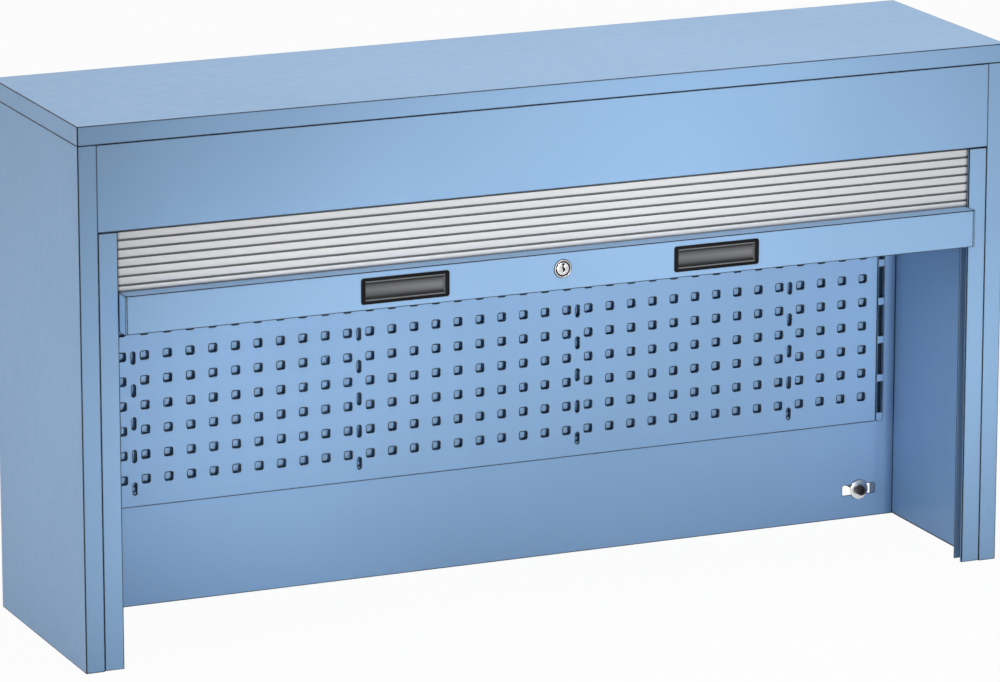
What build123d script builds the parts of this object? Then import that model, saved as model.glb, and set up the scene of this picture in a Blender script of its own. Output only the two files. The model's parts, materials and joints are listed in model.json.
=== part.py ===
from build123d import *
from math import ceil
import os

os.makedirs("parts", exist_ok=True)

# Roll front tool cabinet, a sheet steel case that stands on a bench.
# Millimetres, +Z up, X across the front, +Y towards the back.
# The origin is the middle of the whole object's footprint, at the level of the bench.

# ---------------- case
width = 1560.0
depth = 390.0
height = 850.0
sheet = 1.5
side_thickness = 30.0
edge_radius = 2.0
edge_break = 0.8
cover_skirt = 30.0
cover_rim = 12.0
back_recess = 83.0
back_flange = 20.0
fascia_height = 135.0
fascia_flange = 20.0
fascia_hem_height = 12.0
hem_thickness = 1.0
box_floor_hem = 12.0

# ---------------- guide rails
guide_width = 32.0
guide_lip = 4.5
guide_foot_gap = 1.0
guide_head_gap = 5.0
guide_strip_gap = 1.2
guide_corner_radius = 2.5
guide_fold_radius = 2.0
comb_base = 2.0
comb_rib_reach = 6.0
comb_clearance = 0.3

# ---------------- slatted curtain
slat_pitch = 14.0
slat_skin = 1.0
slat_hook = 0.6
slat_play = 0.3
slat_spine = 0.7
slat_joint_gap = 1.0
slat_hook_drop = 1.4
slat_end_gap = 1.0
curtain_front_gap = 0.7
run_gap = 1.4
run_back_gap = 0.4
run_count = 4
run_ratio_step = 0.28
run_overlap = 6.0

# ---------------- handle bar
bar_height = 60.0
bar_proud = 25.0
bar_wall = 2.0
bar_radius = 1.5
bar_side_gap = 0.5
bar_lip_gap = 0.1
bar_cap = 3.0
bar_rest_level = 530.0
slat_sink = 4.0
shelf_thickness = 4.0
shelf_lip = 0.6
open_stop_gap = 2.0
seal_height = 3.0
seal_width = 8.0
seal_set_back = 15.0
seal_floor_gap = 1.0
tongue_height = 14.0
tongue_reach = 6.0
tongue_foot = 2.0

# ---------------- cup grips
grip_spacing = 526.0
grip_length = 146.0
grip_height = 41.0
grip_border = 6.5
grip_flange = 1.2
grip_radius = 4.0
grip_depth = 13.5
grip_wall = 1.6
grip_fit = 0.3

# ---------------- lock
lock_rise = 4.0
lock_ring_diameter = 30.0
lock_proud = 2.0
lock_body_diameter = 23.0
plug_diameter = 20.0
plug_inset = 0.8
plug_tail_diameter = 8.0
running_fit = 0.05
keyway_width = 2.2
keyway_height = 10.0
keyway_depth = 6.0
lock_back_gap = 1.6
lock_back_wall = 2.0
tail_hole_play = 0.5
cam_gap = 0.3
cam_thickness = 1.4
cam_width = 9.0
cam_pin_diameter = 4.0
cam_pin_radius = 8.5
cam_slot_play = 0.4
bolt_height = 12.0
bolt_thickness = 2.6
bolt_gap = 1.2
bolt_tip_in_guide = 6.0
bolt_yoke_end = 5.0
keeper_width = 14.0
keeper_wall = 0.6
keeper_play = 0.2
keeper_places = (70.0, 480.0)
striker_gap = 1.0
striker_height = 6.5
striker_length = 12.0

# ---------------- perforated tool panel
panel_side_gap = 25.0
panel_head_gap = 71.0
panel_foot = 164.0
panel_stand_off = 10.0
panel_corner = 2.0
panel_margin = 26.0
hole_size = 12.0
column_pitch = 38.0
row_pitch = 40.0
slot_width = 7.0
slot_length = 19.0
slot_corner = 2.0
slot_row_pitch = 53.0
slot_foot = 30.0
slot_column_step = 10
first_slot_column = 2.5
mounting_rail_height = 24.0
mounting_rail_inset = 8.0
mounting_rail_flange = 8.0
upright_width = 13.0
upright_corner = 2.0
window_width = 9.0
window_height = 52.0
window_pitch = 65.0
window_foot = 15.0

# ---------------- fixing to the bench frame
fixing_inset = 63.0
fixing_level = 48.0
fixing_slot_length = 60.0
fixing_slot_height = 17.0
fixing_slot_radius = 3.0
washer_diameter = 32.0
washer_thickness = 3.0
washer_hole_play = 0.5
screw_diameter = 10.0
screw_length = 45.0
thread_diameter = 9.8
thread_length = 32.0
thread_tip = 1.0
screw_head_diameter = 16.0
screw_head_height = 10.0
screw_socket = 8.0
screw_socket_depth = 5.0

# ---------------- winding shaft
shaft_set_back = 120.0
shaft_level = 762.0
shaft_diameter = 60.0
shaft_wall = 1.5
shaft_end_gap = 50.0
plug_length = 20.0
journal_diameter = 14.0
rod_diameter = 12.0
rod_reach = 420.0
spring_diameter = 40.0
spring_length = 300.0
bracket_thickness = 3.0
bracket_length = 90.0
bracket_height = 100.0
bracket_radius = 8.0
hub_diameter = 30.0
hub_length = 24.0

# ---------------- levels and planes worked out from the sizes
front = -(depth - bar_proud - lock_proud) / 2
back = front + depth
half_width = width / 2
inner_half = half_width - side_thickness
opening_half = inner_half - guide_width
cover_foot = height - cover_skirt
fascia_foot = cover_foot - fascia_height
back_wall_front = back - back_recess
fixing_spacing = (inner_half - fixing_inset) * 2

slat_depth = slat_skin + slat_hook * 2 + slat_play * 3 + slat_spine
slat_half = inner_half - sheet - comb_base - slat_end_gap
run_pitch = slat_depth + run_gap
curtain_front = front + guide_lip + curtain_front_gap
guide_depth = guide_lip + curtain_front_gap + run_pitch * run_count - run_gap + run_back_gap + sheet

bar_front = front - bar_proud
bar_back = front + guide_lip + bar_lip_gap
bar_depth = bar_back - bar_front
bar_half = opening_half - bar_side_gap
bar_tube_half = bar_half - bar_cap
bar_top = bar_rest_level + bar_height
bar_middle = bar_rest_level + bar_height / 2
shelf_level = bar_top - slat_sink
shelf_back = curtain_front + slat_depth + shelf_lip

bar_rise = fascia_foot - open_stop_gap - bar_top
bar_fall = bar_rest_level - seal_height - seal_floor_gap
bar_travel = bar_rise + bar_fall

next_run_open_foot = bar_top + bar_rise - bar_height + open_stop_gap
closed_shelf_level = shelf_level - bar_fall
next_run_closed_foot = next_run_open_foot - bar_travel * (1 - run_ratio_step)
first_run_slats = ceil((next_run_closed_foot - closed_shelf_level + run_overlap) / slat_pitch)
next_run_slats = ceil((bar_travel * run_ratio_step + run_overlap) / slat_pitch)

lock_level = bar_middle + lock_rise
cam_front = bar_back + cam_gap
bolt_front = cam_front + cam_thickness + cam_gap
bolt_back = bolt_front + bolt_thickness
cam_swing = cam_pin_radius * 2 ** -0.5

panel_front = back_wall_front - panel_stand_off
panel_back = panel_front + sheet
panel_width = (inner_half - panel_side_gap - upright_width) * 2
panel_height = fascia_foot - panel_head_gap - panel_foot
column_count = int((panel_width - panel_margin * 2) // column_pitch) + 1
row_count = int((panel_height - panel_margin * 2) // row_pitch) + 1
slot_row_count = int((panel_height - slot_foot * 2) // slot_row_pitch) + 1
slot_columns = int((column_count - 1 - first_slot_column) // slot_column_step) + 1
window_count = int((panel_height - window_foot * 2 - window_height) // window_pitch) + 1


def plane_facing_front(y):
    """A sketch plane at depth y, with X across and Y up; extrude goes towards the back."""
    return Plane(origin=(0, y, 0), x_dir=(-1, 0, 0), z_dir=(0, 1, 0))


def write(builder, name):
    """Label a finished piece and write its file."""
    builder.part.label = name
    export_step(builder.part, f"parts/{name}.step")


def mirrored(builder):
    """The same piece on the other side of the cabinet."""
    with BuildPart() as other:
        mirror(builder.part, about=Plane.YZ)
    return other


# ---------------- side walls: folded outer shell, flat inner skin
with BuildPart() as side_wall_left:
    with BuildSketch(Plane.XY):
        with Locations((-half_width + side_thickness / 2, front + depth / 2)):
            Rectangle(side_thickness, depth)
    extrude(amount=cover_foot)
    outer_edges = side_wall_left.edges().filter_by(Axis.Z).group_by(Axis.X)[0]
    fillet(outer_edges, edge_radius)
    offset(amount=-sheet, openings=side_wall_left.faces().sort_by(Axis.X)[-1])
write(side_wall_left, "side_wall_left")
write(mirrored(side_wall_left), "side_wall_right")

with BuildPart() as side_liner_left:
    with BuildSketch(Plane.XY.offset(sheet)):
        with Locations((-inner_half - sheet / 2, front + depth / 2)):
            Rectangle(sheet, depth - sheet * 2)
    extrude(amount=cover_foot - sheet * 2)
write(side_liner_left, "side_liner_left")
write(mirrored(side_liner_left), "side_liner_right")

# ---------------- top cover: a lid with a skirt and a turned-in rim
with BuildPart() as top_cover:
    with BuildSketch(Plane.XY.offset(cover_foot)):
        with Locations((0, front + depth / 2)):
            RectangleRounded(width, depth, edge_radius)
    extrude(amount=cover_skirt)
    chamfer(top_cover.faces().sort_by(Axis.Z)[-1].edges(), edge_break)
    offset(amount=-sheet, openings=top_cover.faces().sort_by(Axis.Z)[0])
    with BuildSketch(Plane.XY.offset(cover_foot)):
        with Locations((0, front + depth / 2)):
            RectangleRounded(width, depth, edge_radius)
            Rectangle(width - cover_rim * 2, depth - cover_rim * 2, mode=Mode.SUBTRACT)
    extrude(amount=sheet)
    chamfer(top_cover.faces().sort_by(Axis.Z)[0].outer_wire().edges(), edge_break)
write(top_cover, "top_cover")

# ---------------- fascia that hides the roll box
with BuildPart() as fascia:
    with BuildSketch(Plane.YZ.offset(-inner_half)):
        with Locations((front, fascia_foot)):
            Rectangle(sheet, fascia_height, align=(Align.MIN, Align.MIN))
        with Locations((front, cover_foot)):
            Rectangle(fascia_flange, sheet, align=(Align.MIN, Align.MAX))
    extrude(amount=inner_half * 2)
    with BuildSketch(Plane.YZ.offset(-opening_half)):
        with Locations((front + sheet, fascia_foot)):
            Rectangle(hem_thickness, fascia_hem_height, align=(Align.MIN, Align.MIN))
    extrude(amount=opening_half * 2)
    long_edges = fascia.faces().sort_by(Axis.Y)[0].edges().filter_by(Axis.X)
    chamfer(long_edges, edge_break)
write(fascia, "fascia")

# ---------------- back wall: a tray that opens to the rear
with BuildPart() as back_wall:
    with BuildSketch(plane_facing_front(back_wall_front)):
        Rectangle(inner_half * 2, height - sheet, align=(Align.CENTER, Align.MIN))
    extrude(amount=back_flange)
    offset(amount=-sheet, openings=back_wall.faces().sort_by(Axis.Y)[-1])
    with BuildSketch(plane_facing_front(back_wall_front)):
        with Locations((0, fixing_level)):
            with GridLocations(fixing_spacing, 1, 2, 1):
                RectangleRounded(fixing_slot_length, fixing_slot_height, fixing_slot_radius)
    extrude(amount=sheet, mode=Mode.SUBTRACT)
write(back_wall, "back_wall")

# ---------------- floor of the roll box
with BuildPart() as roll_box_floor:
    floor_front = front + guide_depth
    floor_depth = back_wall_front - floor_front
    with BuildSketch(Plane.YZ.offset(-inner_half)):
        with Locations((floor_front, fascia_foot)):
            Rectangle(floor_depth, sheet, align=(Align.MIN, Align.MIN))
        with Locations((floor_front, fascia_foot + sheet)):
            Rectangle(box_floor_hem, hem_thickness, align=(Align.MIN, Align.MIN))
    extrude(amount=inner_half * 2)
write(roll_box_floor, "roll_box_floor")

# ---------------- perforated panel
with BuildPart() as perforated_panel:
    column_middle = (column_count - 1) / 2
    slot_column_middle = first_slot_column + slot_column_step * (slot_columns - 1) / 2
    slot_middle_x = (column_middle - slot_column_middle) * column_pitch
    slot_middle_level = panel_foot + slot_foot + slot_row_pitch * (slot_row_count - 1) / 2
    with BuildSketch(Plane.XY, mode=Mode.PRIVATE) as small_slot:
        Rectangle(slot_width, slot_length)
        chamfer(small_slot.vertices(), slot_corner)
    with BuildSketch(plane_facing_front(panel_front)) as panel_face:
        with Locations((0, panel_foot)):
            Rectangle(panel_width, panel_height, align=(Align.CENTER, Align.MIN))
        chamfer(panel_face.vertices(), panel_corner)
        with Locations((0, panel_foot + panel_height / 2)):
            with GridLocations(column_pitch, row_pitch, column_count, row_count):
                Rectangle(hole_size, hole_size, mode=Mode.SUBTRACT)
        with Locations((slot_middle_x, slot_middle_level)):
            with GridLocations(column_pitch * slot_column_step, slot_row_pitch, slot_columns, slot_row_count):
                add(small_slot.sketch, mode=Mode.SUBTRACT)
    extrude(amount=sheet)
write(perforated_panel, "perforated_panel")


# ---------------- rails that hold the panel off the back wall
def mounting_rail(foot):
    """A hat-shaped rail: its crown carries the panel and its two brims lie on the back wall."""
    crown_height = mounting_rail_height - mounting_rail_flange * 2
    with BuildPart() as rail:
        with BuildSketch(Plane.YZ.offset(-panel_width / 2 + panel_corner)):
            with Locations((panel_back, foot + mounting_rail_flange)):
                Rectangle(
                    back_wall_front - panel_back,
                    crown_height,
                    align=(Align.MIN, Align.MIN),
                )
            with Locations((back_wall_front - sheet, foot)):
                Rectangle(sheet, mounting_rail_height, align=(Align.MIN, Align.MIN))
            with Locations((panel_back + sheet, foot + mounting_rail_flange + sheet)):
                Rectangle(
                    back_wall_front - panel_back - sheet,
                    crown_height - sheet * 2,
                    align=(Align.MIN, Align.MIN),
                    mode=Mode.SUBTRACT,
                )
        extrude(amount=panel_width - panel_corner * 2)
    return rail


write(mounting_rail(panel_foot + mounting_rail_inset), "mounting_rail_lower")
write(
    mounting_rail(panel_foot + panel_height - mounting_rail_inset - mounting_rail_height),
    "mounting_rail_upper",
)

# ---------------- slotted uprights beside the panel
with BuildPart() as panel_upright_right:
    upright_middle = panel_width / 2 + upright_width / 2
    with BuildSketch(plane_facing_front(panel_front)) as upright_outline:
        with Locations((-upright_middle, panel_foot)):
            Rectangle(upright_width, panel_height, align=(Align.CENTER, Align.MIN))
        chamfer(upright_outline.vertices(), upright_corner)
    extrude(amount=panel_stand_off)
    offset(amount=-sheet, openings=panel_upright_right.faces().sort_by(Axis.Y)[-1])
    with BuildSketch(plane_facing_front(panel_front)):
        window_middle = panel_foot + window_foot + window_height / 2 + window_pitch * (window_count - 1) / 2
        with Locations((-upright_middle, window_middle)):
            with GridLocations(1, window_pitch, 1, window_count):
                Rectangle(window_width, window_height)
    extrude(amount=sheet, mode=Mode.SUBTRACT)
write(panel_upright_right, "panel_upright_right")
write(mirrored(panel_upright_right), "panel_upright_left")

# ---------------- guide rails: a U channel with a lip on its front flange
with BuildPart() as guide_rail_left:
    with BuildSketch(Plane.XY.offset(guide_foot_gap)) as rail_section:
        with BuildLine():
            Polyline(
                (-inner_half, front),
                (-opening_half, front),
                (-opening_half, front + guide_lip),
                (-opening_half - sheet, front + guide_lip),
                (-opening_half - sheet, front + sheet),
                (-inner_half + sheet, front + sheet),
                (-inner_half + sheet, front + guide_depth - sheet),
                (-opening_half, front + guide_depth - sheet),
                (-opening_half, front + guide_depth),
                (-inner_half, front + guide_depth),
                close=True,
            )
        make_face()
        fillet(rail_section.vertices().group_by(Axis.Y)[0], guide_fold_radius)
    extrude(amount=cover_foot - guide_head_gap - guide_foot_gap)
    strip_head = fascia_foot - guide_strip_gap
    with BuildSketch(plane_facing_front(front)):
        with Locations((inner_half, strip_head)):
            Rectangle(guide_width, cover_foot - strip_head, align=(Align.MAX, Align.MIN))
            Rectangle(guide_corner_radius, guide_corner_radius, align=(Align.MAX, Align.MAX))
        with Locations((inner_half - guide_corner_radius, strip_head - guide_corner_radius)):
            Circle(guide_corner_radius, mode=Mode.SUBTRACT)
    extrude(amount=guide_lip, mode=Mode.SUBTRACT)
write(guide_rail_left, "guide_rail_left")
write(mirrored(guide_rail_left), "guide_rail_right")

# ---------------- combs in the rails: one groove for each run of slats
with BuildPart() as guide_comb_left:
    comb_back = front + guide_depth - sheet
    comb_front = curtain_front - comb_clearance
    comb_x = -inner_half + sheet
    with BuildSketch(Plane.XY.offset(guide_foot_gap)):
        with Locations((comb_x, comb_front)):
            Rectangle(comb_base, comb_back - comb_front, align=(Align.MIN, Align.MIN))
        for run in range(1, run_count):
            rib_middle = curtain_front + run * run_pitch - run_gap / 2
            with Locations((comb_x, rib_middle)):
                Rectangle(
                    comb_base + comb_rib_reach,
                    run_gap - comb_clearance * 2,
                    align=(Align.MIN, Align.CENTER),
                )
    extrude(amount=cover_foot - guide_head_gap - guide_foot_gap)
write(guide_comb_left, "guide_comb_left")
write(mirrored(guide_comb_left), "guide_comb_right")


# ---------------- slatted curtain, in four runs of hooked slats
def curtain_run(run_front, foot, count):
    """One run: separate slats whose top hooks hang in the gutter of the slat above."""
    gutter = slat_hook + slat_play * 2
    lip_front = slat_skin + gutter
    lip_back = lip_front + slat_hook
    spine_front = lip_back + slat_play
    face_top = slat_pitch - slat_joint_gap
    web_foot = face_top - slat_skin
    tip_front = slat_skin + slat_play
    tip_back = tip_front + slat_hook
    lip_top = slat_skin + slat_hook_drop + slat_play * 2
    tip_foot = slat_pitch + slat_skin + slat_play
    hook_foot = slat_pitch + lip_top + slat_play
    hook_top = hook_foot + slat_hook
    with BuildPart() as run:
        with BuildSketch(Plane.YZ.offset(-slat_half)):
            with GridLocations(1, slat_pitch, 1, count):
                with BuildLine(mode=Mode.PRIVATE) as outline:
                    Polyline(
                        (0, 0),
                        (0, face_top),
                        (spine_front, face_top),
                        (spine_front, hook_foot),
                        (tip_back, hook_foot),
                        (tip_back, tip_foot),
                        (tip_front, tip_foot),
                        (tip_front, hook_top),
                        (slat_depth, hook_top),
                        (slat_depth, web_foot),
                        (slat_skin, web_foot),
                        (slat_skin, slat_skin),
                        (lip_front, slat_skin),
                        (lip_front, lip_top),
                        (lip_back, lip_top),
                        (lip_back, 0),
                        close=True,
                    )
            for slat in range(count):
                with Locations((run_front, foot + slat * slat_pitch)):
                    add(make_face(outline.line, mode=Mode.PRIVATE))
        extrude(amount=slat_half * 2)
    return run


for run in range(run_count):
    ratio = 1 - run_ratio_step * run
    if run == 0:
        foot = shelf_level
        count = first_run_slats
    else:
        foot = next_run_open_foot - ratio * bar_rise
        count = next_run_slats
    write(curtain_run(curtain_front + run * run_pitch, foot, count), f"curtain_run_{run + 1}")

# ---------------- handle bar: a box section with a shelf for the slats
with BuildPart() as handle_bar:
    with BuildSketch(Plane.YZ.offset(-bar_tube_half)) as bar_section:
        with Locations((bar_front, bar_rest_level)):
            Rectangle(bar_depth, bar_height, align=(Align.MIN, Align.MIN))
        fillet(bar_section.vertices().group_by(Axis.X)[0], bar_radius)
        with Locations((bar_front + bar_wall, bar_rest_level + bar_wall)):
            Rectangle(
                bar_depth - bar_wall * 2,
                bar_height - bar_wall * 2,
                align=(Align.MIN, Align.MIN),
                mode=Mode.SUBTRACT,
            )
        with Locations((bar_back, shelf_level)):
            Rectangle(shelf_back - bar_back, shelf_thickness, align=(Align.MIN, Align.MAX))
    extrude(amount=bar_tube_half * 2)
    with BuildSketch(plane_facing_front(bar_front)):
        with Locations((0, bar_middle)):
            with GridLocations(grip_spacing, 1, 2, 1):
                Rectangle(grip_length - grip_border * 2, grip_height - grip_border * 2)
        with Locations((0, lock_level)):
            Circle(lock_body_diameter / 2)
    extrude(amount=bar_wall, mode=Mode.SUBTRACT)
    with BuildSketch(plane_facing_front(bar_back - bar_wall)):
        with Locations((0, lock_level)):
            Circle(plug_tail_diameter / 2 + tail_hole_play)
    extrude(amount=bar_wall, mode=Mode.SUBTRACT)
write(handle_bar, "handle_bar")

# ---------------- end caps with a tongue that runs in the rail
with BuildPart() as bar_cap_left:
    with BuildSketch(Plane.YZ.offset(-bar_half)) as cap_section:
        with Locations((bar_front, bar_rest_level)):
            Rectangle(bar_depth, bar_height, align=(Align.MIN, Align.MIN))
        fillet(cap_section.vertices().group_by(Axis.X)[0], bar_radius)
        with Locations((bar_back, bar_rest_level + tongue_foot)):
            Rectangle(
                curtain_front + slat_depth - bar_back,
                tongue_height,
                align=(Align.MIN, Align.MIN),
            )
    extrude(amount=bar_cap)
    with BuildSketch(Plane.YZ.offset(-opening_half - tongue_reach)):
        with Locations((curtain_front, bar_rest_level + tongue_foot)):
            Rectangle(slat_depth, tongue_height, align=(Align.MIN, Align.MIN))
    extrude(amount=tongue_reach + bar_side_gap)
write(bar_cap_left, "bar_cap_left")
write(mirrored(bar_cap_left), "bar_cap_right")

# ---------------- rubber seal under the bar
with BuildPart() as bottom_seal:
    with BuildSketch(Plane.YZ.offset(-bar_tube_half)) as seal_section:
        with Locations((bar_front + seal_set_back, bar_rest_level)):
            Rectangle(seal_width, seal_height, align=(Align.MIN, Align.MAX))
        chamfer(seal_section.vertices().group_by(Axis.Y)[0], seal_height / 2)
    extrude(amount=bar_tube_half * 2)
write(bottom_seal, "bottom_seal")


# ---------------- cup grips: a frame with a round-backed finger hollow
def cup_grip(middle):
    """A moulded grip whose frame lies on the bar and whose hollow is part of a cylinder."""
    body_half = grip_height / 2 - grip_border - grip_fit
    hollow_half = body_half - grip_wall
    hollow_depth = grip_depth - grip_wall
    body_length = grip_length - grip_border * 2 - grip_fit * 2
    hollow_length = body_length - grip_wall * 2
    face = bar_front - grip_flange
    with BuildPart() as grip:
        with BuildSketch(Plane.YZ.offset(middle - body_length / 2)):
            with BuildLine():
                ThreePointArc(
                    (bar_front, bar_middle + body_half),
                    (bar_front + grip_depth, bar_middle),
                    (bar_front, bar_middle - body_half),
                )
                Line((bar_front, bar_middle - body_half), (bar_front, bar_middle + body_half))
            make_face()
        extrude(amount=body_length)
        with BuildSketch(plane_facing_front(face)):
            with Locations((-middle, bar_middle)):
                RectangleRounded(grip_length, grip_height, grip_radius)
        extrude(amount=grip_flange)
        with BuildSketch(Plane.YZ.offset(middle - hollow_length / 2)):
            with BuildLine():
                ThreePointArc(
                    (face, bar_middle + hollow_half),
                    (bar_front + hollow_depth, bar_middle),
                    (face, bar_middle - hollow_half),
                )
                Line((face, bar_middle - hollow_half), (face, bar_middle + hollow_half))
            make_face()
        extrude(amount=hollow_length, mode=Mode.SUBTRACT)
    return grip


write(cup_grip(-grip_spacing / 2), "cup_grip_left")
write(cup_grip(grip_spacing / 2), "cup_grip_right")

# ---------------- cylinder lock
lock_face = bar_front - lock_proud
lock_body_back = bar_back - bar_wall - lock_back_gap
plug_face = lock_face + plug_inset
plug_back = lock_body_back - lock_back_wall - running_fit

with BuildPart() as lock_housing:
    with BuildSketch(plane_facing_front(lock_face)):
        with Locations((0, lock_level)):
            Circle(lock_ring_diameter / 2)
    extrude(amount=lock_proud)
    chamfer(lock_housing.faces().sort_by(Axis.Y)[0].edges(), lock_proud / 2)
    with BuildSketch(plane_facing_front(bar_front)):
        with Locations((0, lock_level)):
            Circle(lock_body_diameter / 2)
    extrude(amount=lock_body_back - bar_front)
    with BuildSketch(plane_facing_front(lock_face)):
        with Locations((0, lock_level)):
            Circle(plug_diameter / 2 + running_fit)
    extrude(amount=lock_body_back - lock_back_wall - lock_face, mode=Mode.SUBTRACT)
    with BuildSketch(plane_facing_front(lock_body_back - lock_back_wall)):
        with Locations((0, lock_level)):
            Circle(plug_tail_diameter / 2 + running_fit)
    extrude(amount=lock_back_wall, mode=Mode.SUBTRACT)
write(lock_housing, "lock_housing")

with BuildPart() as lock_plug:
    with BuildSketch(plane_facing_front(plug_face)):
        with Locations((0, lock_level)):
            Circle(plug_diameter / 2)
    extrude(amount=plug_back - plug_face)
    with BuildSketch(plane_facing_front(plug_back)):
        with Locations((0, lock_level)):
            Circle(plug_tail_diameter / 2)
    extrude(amount=cam_front - plug_back)
    with BuildSketch(plane_facing_front(plug_face)):
        with Locations((0, lock_level)):
            Rectangle(keyway_width, keyway_height)
    extrude(amount=keyway_depth, mode=Mode.SUBTRACT)
write(lock_plug, "lock_plug")

with BuildPart() as lock_cam:
    with BuildSketch(plane_facing_front(cam_front)):
        with Locations((0, lock_level)):
            SlotCenterToCenter(cam_pin_radius * 2, cam_width, rotation=45)
    extrude(amount=cam_thickness)
    with BuildSketch(plane_facing_front(cam_front + cam_thickness)):
        with Locations((0, lock_level)):
            with PolarLocations(cam_pin_radius, 2, start_angle=45):
                Circle(cam_pin_diameter / 2)
    extrude(amount=bolt_thickness)
write(lock_cam, "lock_cam")


# ---------------- locking bolts, driven by the two cam pins
def lock_bolt(side):
    """A flat bolt behind the bar; side is 1 for right and -1 for left."""
    middle_level = lock_level + side * (bolt_gap + bolt_height / 2)
    pin_x = -side * cam_swing
    inner_x = pin_x - side * (cam_pin_diameter / 2 + cam_slot_play + bolt_yoke_end)
    outer_x = side * (opening_half + bolt_tip_in_guide)
    with BuildPart() as bolt:
        with BuildSketch(plane_facing_front(bolt_front)):
            with Locations((-(inner_x + outer_x) / 2, middle_level)):
                Rectangle(abs(outer_x - inner_x), bolt_height)
            with Locations((-pin_x, middle_level)):
                SlotOverall(
                    bolt_height - cam_slot_play * 4,
                    cam_pin_diameter + cam_slot_play * 2,
                    rotation=90,
                    mode=Mode.SUBTRACT,
                )
        extrude(amount=bolt_thickness)
        tip_edges = bolt.edges().filter_by(Axis.Y).sort_by(Axis.X)
        fillet(tip_edges[-2:] if side > 0 else tip_edges[:2], bolt_height / 4)
    return bolt


write(lock_bolt(-1), "lock_bolt_left")
write(lock_bolt(1), "lock_bolt_right")

# ---------------- keepers that hold the bolts to the bar
with BuildPart() as bolt_keepers:
    keeper_inner = bolt_height + keeper_play * 2
    keeper_back = bolt_back + keeper_play
    for side in (-1, 1):
        middle_level = lock_level + side * (bolt_gap + bolt_height / 2)
        for place in keeper_places:
            with BuildSketch(Plane.YZ.offset(side * place - keeper_width / 2)):
                with Locations((bar_back, middle_level)):
                    Rectangle(
                        keeper_back + keeper_wall - bar_back,
                        keeper_inner + keeper_wall * 2,
                        align=(Align.MIN, Align.CENTER),
                    )
                    Rectangle(
                        keeper_back - bar_back,
                        keeper_inner,
                        align=(Align.MIN, Align.CENTER),
                        mode=Mode.SUBTRACT,
                    )
            extrude(amount=keeper_width)
write(bolt_keepers, "bolt_keepers")


# ---------------- strikers low in the rails, over the thrown bolts
def striker(side):
    """A block behind the rail's front flange that stops the thrown bolt from rising."""
    bolt_top = lock_level - bar_fall + side * (bolt_gap + bolt_height / 2) + bolt_height / 2
    inner_x = opening_half + bolt_tip_in_guide + bolt_gap
    with BuildPart() as block:
        with BuildSketch(Plane.XY.offset(bolt_top + striker_gap)):
            with Locations((side * (inner_x + striker_length / 2), front + sheet)):
                Rectangle(
                    striker_length,
                    curtain_front + slat_depth - front - sheet,
                    align=(Align.CENTER, Align.MIN),
                )
        extrude(amount=striker_height)
    return block


write(striker(-1), "striker_left")
write(striker(1), "striker_right")

# ---------------- fixing screws and washers
with BuildPart() as fixing_washers:
    with BuildSketch(plane_facing_front(back_wall_front - washer_thickness)):
        with Locations((0, fixing_level)):
            with GridLocations(fixing_spacing, 1, 2, 1):
                Circle(washer_diameter / 2)
                Circle(screw_diameter / 2 + washer_hole_play, mode=Mode.SUBTRACT)
    extrude(amount=washer_thickness)
write(fixing_washers, "fixing_washers")

with BuildPart() as fixing_screws:
    head_back = back_wall_front - washer_thickness
    head_front = head_back - screw_head_height
    with BuildSketch(plane_facing_front(head_front)):
        with Locations((0, fixing_level)):
            with GridLocations(fixing_spacing, 1, 2, 1):
                Circle(screw_head_diameter / 2)
                RegularPolygon(screw_socket / 2, 6, major_radius=False, mode=Mode.SUBTRACT)
    extrude(amount=screw_socket_depth)
    with BuildSketch(plane_facing_front(head_front + screw_socket_depth)):
        with Locations((0, fixing_level)):
            with GridLocations(fixing_spacing, 1, 2, 1):
                Circle(screw_head_diameter / 2)
    extrude(amount=screw_head_height - screw_socket_depth)
    with BuildSketch(plane_facing_front(head_back)):
        with Locations((0, fixing_level)):
            with GridLocations(fixing_spacing, 1, 2, 1):
                Circle(screw_diameter / 2)
    extrude(amount=screw_length - thread_length)
    with BuildSketch(plane_facing_front(head_back + screw_length - thread_length)):
        with Locations((0, fixing_level)):
            with GridLocations(fixing_spacing, 1, 2, 1):
                Circle(thread_diameter / 2)
    extrude(amount=thread_length)
    chamfer(fixing_screws.faces().group_by(Axis.Y)[-1].edges(), thread_tip)
write(fixing_screws, "fixing_screws")

# ---------------- winding shaft, its brackets, rod and balance spring
shaft_y = front + shaft_set_back
shaft_half = inner_half - shaft_end_gap


def shaft_plane(x):
    """A plane square to the shaft at x, with its origin on the shaft's axis."""
    return Plane(origin=(x, shaft_y, shaft_level), x_dir=(0, 1, 0), z_dir=(1, 0, 0))


with BuildPart() as shaft_tube:
    with BuildSketch(shaft_plane(-shaft_half)):
        Circle(shaft_diameter / 2)
        Circle(shaft_diameter / 2 - shaft_wall, mode=Mode.SUBTRACT)
    extrude(amount=shaft_half * 2)
write(shaft_tube, "shaft_tube")

with BuildPart() as shaft_plug_right:
    with BuildSketch(shaft_plane(shaft_half - plug_length)):
        Circle(shaft_diameter / 2 - shaft_wall)
    extrude(amount=plug_length)
    with BuildSketch(shaft_plane(shaft_half)):
        Circle(journal_diameter / 2)
    extrude(amount=inner_half - bracket_thickness - shaft_half - sheet)
write(shaft_plug_right, "shaft_plug_right")

with BuildPart() as shaft_plug_left:
    with BuildSketch(shaft_plane(-shaft_half)):
        Circle(shaft_diameter / 2 - shaft_wall)
        Circle(rod_diameter / 2 + running_fit, mode=Mode.SUBTRACT)
    extrude(amount=plug_length)
write(shaft_plug_left, "shaft_plug_left")


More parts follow.
